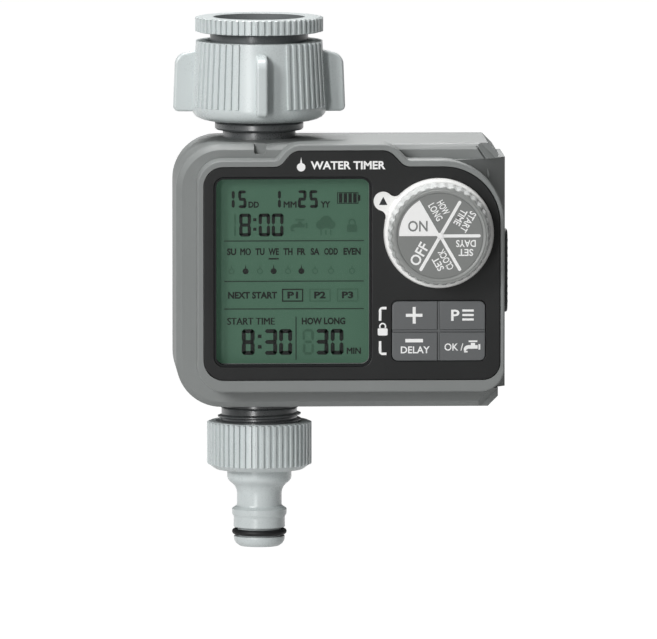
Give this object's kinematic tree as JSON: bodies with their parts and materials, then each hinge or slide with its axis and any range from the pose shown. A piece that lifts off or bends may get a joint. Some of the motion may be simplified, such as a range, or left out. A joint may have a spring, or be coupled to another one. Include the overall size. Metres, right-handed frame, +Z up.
{
  "type": "irrigation controller",
  "caption": "Battery tap timer with a winged swivel inlet, screw-in tap adapter, display, turning dial, keys, side battery drawer and a quick-connect hose outlet.",
  "frame": {"origin": "on the water line where the tap thread starts, just inside the mouth of the tap adapter", "axes": "+Z up along the water line and out of the inlet, the face with display and dial looks along -Y, +X to the right of that face"},
  "size_m": [0.1054, 0.0762, 0.1677],
  "materials": {
    "fitting_grey": "satin moulded light grey",
    "black_rubber": "matt moulded",
    "filter_blue": "fine moulded mesh",
    "valve_dark": "satin moulded dark grey",
    "housing_grey": "fine texture",
    "front_grey": "fine texture",
    "screw_steel": "zinc plated",
    "panel_black": "satin film",
    "window_clear": "clear, dark masked edge",
    "lcd_green": "green reflective display",
    "inner_white": "moulded",
    "board_green": "solder mask",
    "inner_black": "moulded",
    "dial_white": "gloss white",
    "dial_light": "translucent light grey",
    "dial_grey": "printed",
    "key_grey": "soft touch",
    "magnet_steel": "plated",
    "copper_wire": "enamelled copper",
    "drawer_dark": "satin moulded",
    "battery_wrap": "printed steel case, plain",
    "contact_brass": "plated",
    "lead_red": "PVC",
    "lead_white": "PVC"
  },
  "bodies": {
    "root": {"collar_washer": "black_rubber", "inlet_filter": "filter_blue", "inlet_tail": "fitting_grey", "tail_oring": "black_rubber", "valve_body": "valve_dark", "inlet_seal": "black_rubber", "outlet_seal": "black_rubber", "rear_housing": "housing_grey", "front_housing": "front_grey", "housing_seal": "black_rubber", "housing_screws": "screw_steel", "front_panel": "panel_black", "display_window": "window_clear", "window_gasket": "black_rubber", "lcd_glass": "lcd_green", "lcd_frame": "inner_white", "contact_strips": "black_rubber", "main_board": "board_green", "board_screws": "screw_steel", "rotary_switch": "inner_black", "key_switches": "inner_black", "keypad_mat": "black_rubber", "dial_ring": "dial_white", "valve_bonnet": "valve_dark", "bonnet_screws": "screw_steel", "diaphragm": "black_rubber", "plunger_spring": "screw_steel", "solenoid_bobbin": "inner_white", "solenoid_winding": "copper_wire", "solenoid_core": "magnet_steel", "solenoid_yoke": "magnet_steel", "latching_magnet": "magnet_steel", "battery_bay": "housing_grey", "battery_contacts": "contact_brass", "battery_leads": "lead_red", "solenoid_leads": "lead_white"},
    "adapter": {"tap_adapter": "fitting_grey", "adapter_washer": "black_rubber"},
    "collar": {"inlet_collar": "fitting_grey"},
    "connector": {"hose_connector": "fitting_grey", "connector_oring": "black_rubber", "connector_washer": "black_rubber"},
    "dial": {"dial_knob": "dial_light", "dial_face": "dial_grey", "dial_oring": "black_rubber", "switch_shaft": "inner_white"},
    "plus": {"plus_key": "key_grey"},
    "program": {"program_key": "key_grey"},
    "minus": {"minus_key": "key_grey"},
    "ok": {"ok_key": "key_grey"},
    "drawer": {"battery_drawer": "drawer_dark", "drawer_seal": "black_rubber", "battery": "battery_wrap"},
    "plunger": {"solenoid_plunger": "magnet_steel"},
    "disc": {"valve_disc": "valve_dark"}
  },
  "joints": [
    {"name": "collar_turn", "type": "hinge", "parent": "root", "child": "collar", "pos_m": [0, 0, 0], "axis": [0, 0, 1], "continuous": true},
    {"name": "adapter_turn", "type": "hinge", "parent": "collar", "child": "adapter", "pos_m": [0, 0, 0], "axis": [0, 0, 1], "range_deg": [0, 1080]},
    {"name": "connector_turn", "type": "hinge", "parent": "root", "child": "connector", "pos_m": [0, 0, -0.122], "axis": [0, 0, 1], "range_deg": [0, 1080]},
    {"name": "dial_turn", "type": "hinge", "parent": "root", "child": "dial", "pos_m": [0.0549, -0.0385, -0.0637], "axis": [0, -1, 0], "continuous": true},
    {"name": "plus_press", "type": "slide", "parent": "root", "child": "plus", "axis": [0, 1, 0], "range_m": [0, 0.0009], "stiffness_N_per_m": 400, "springref_m": -0.0005},
    {"name": "program_press", "type": "slide", "parent": "root", "child": "program", "axis": [0, 1, 0], "range_m": [0, 0.0009], "stiffness_N_per_m": 400, "springref_m": -0.0005},
    {"name": "minus_press", "type": "slide", "parent": "root", "child": "minus", "axis": [0, 1, 0], "range_m": [0, 0.0009], "stiffness_N_per_m": 400, "springref_m": -0.0005},
    {"name": "ok_press", "type": "slide", "parent": "root", "child": "ok", "axis": [0, 1, 0], "range_m": [0, 0.0009], "stiffness_N_per_m": 400, "springref_m": -0.0005},
    {"name": "drawer_slide", "type": "slide", "parent": "root", "child": "drawer", "axis": [1, 0, 0], "range_m": [0, 0.05]},
    {"name": "plunger_slide", "type": "slide", "parent": "root", "child": "plunger", "axis": [1, 0, 0], "range_m": [0, 0.0018], "stiffness_N_per_m": 300, "springref_m": -0.001, "deforming": ["plunger_spring"]},
    {"name": "disc_slide", "type": "slide", "parent": "root", "child": "disc", "axis": [1, 0, 0], "range_m": [0, 0.0012]}
  ],
  "couplings": [
    {"joint": "disc_slide", "follows": "plunger_slide", "ratio": 0.66}
  ]
}
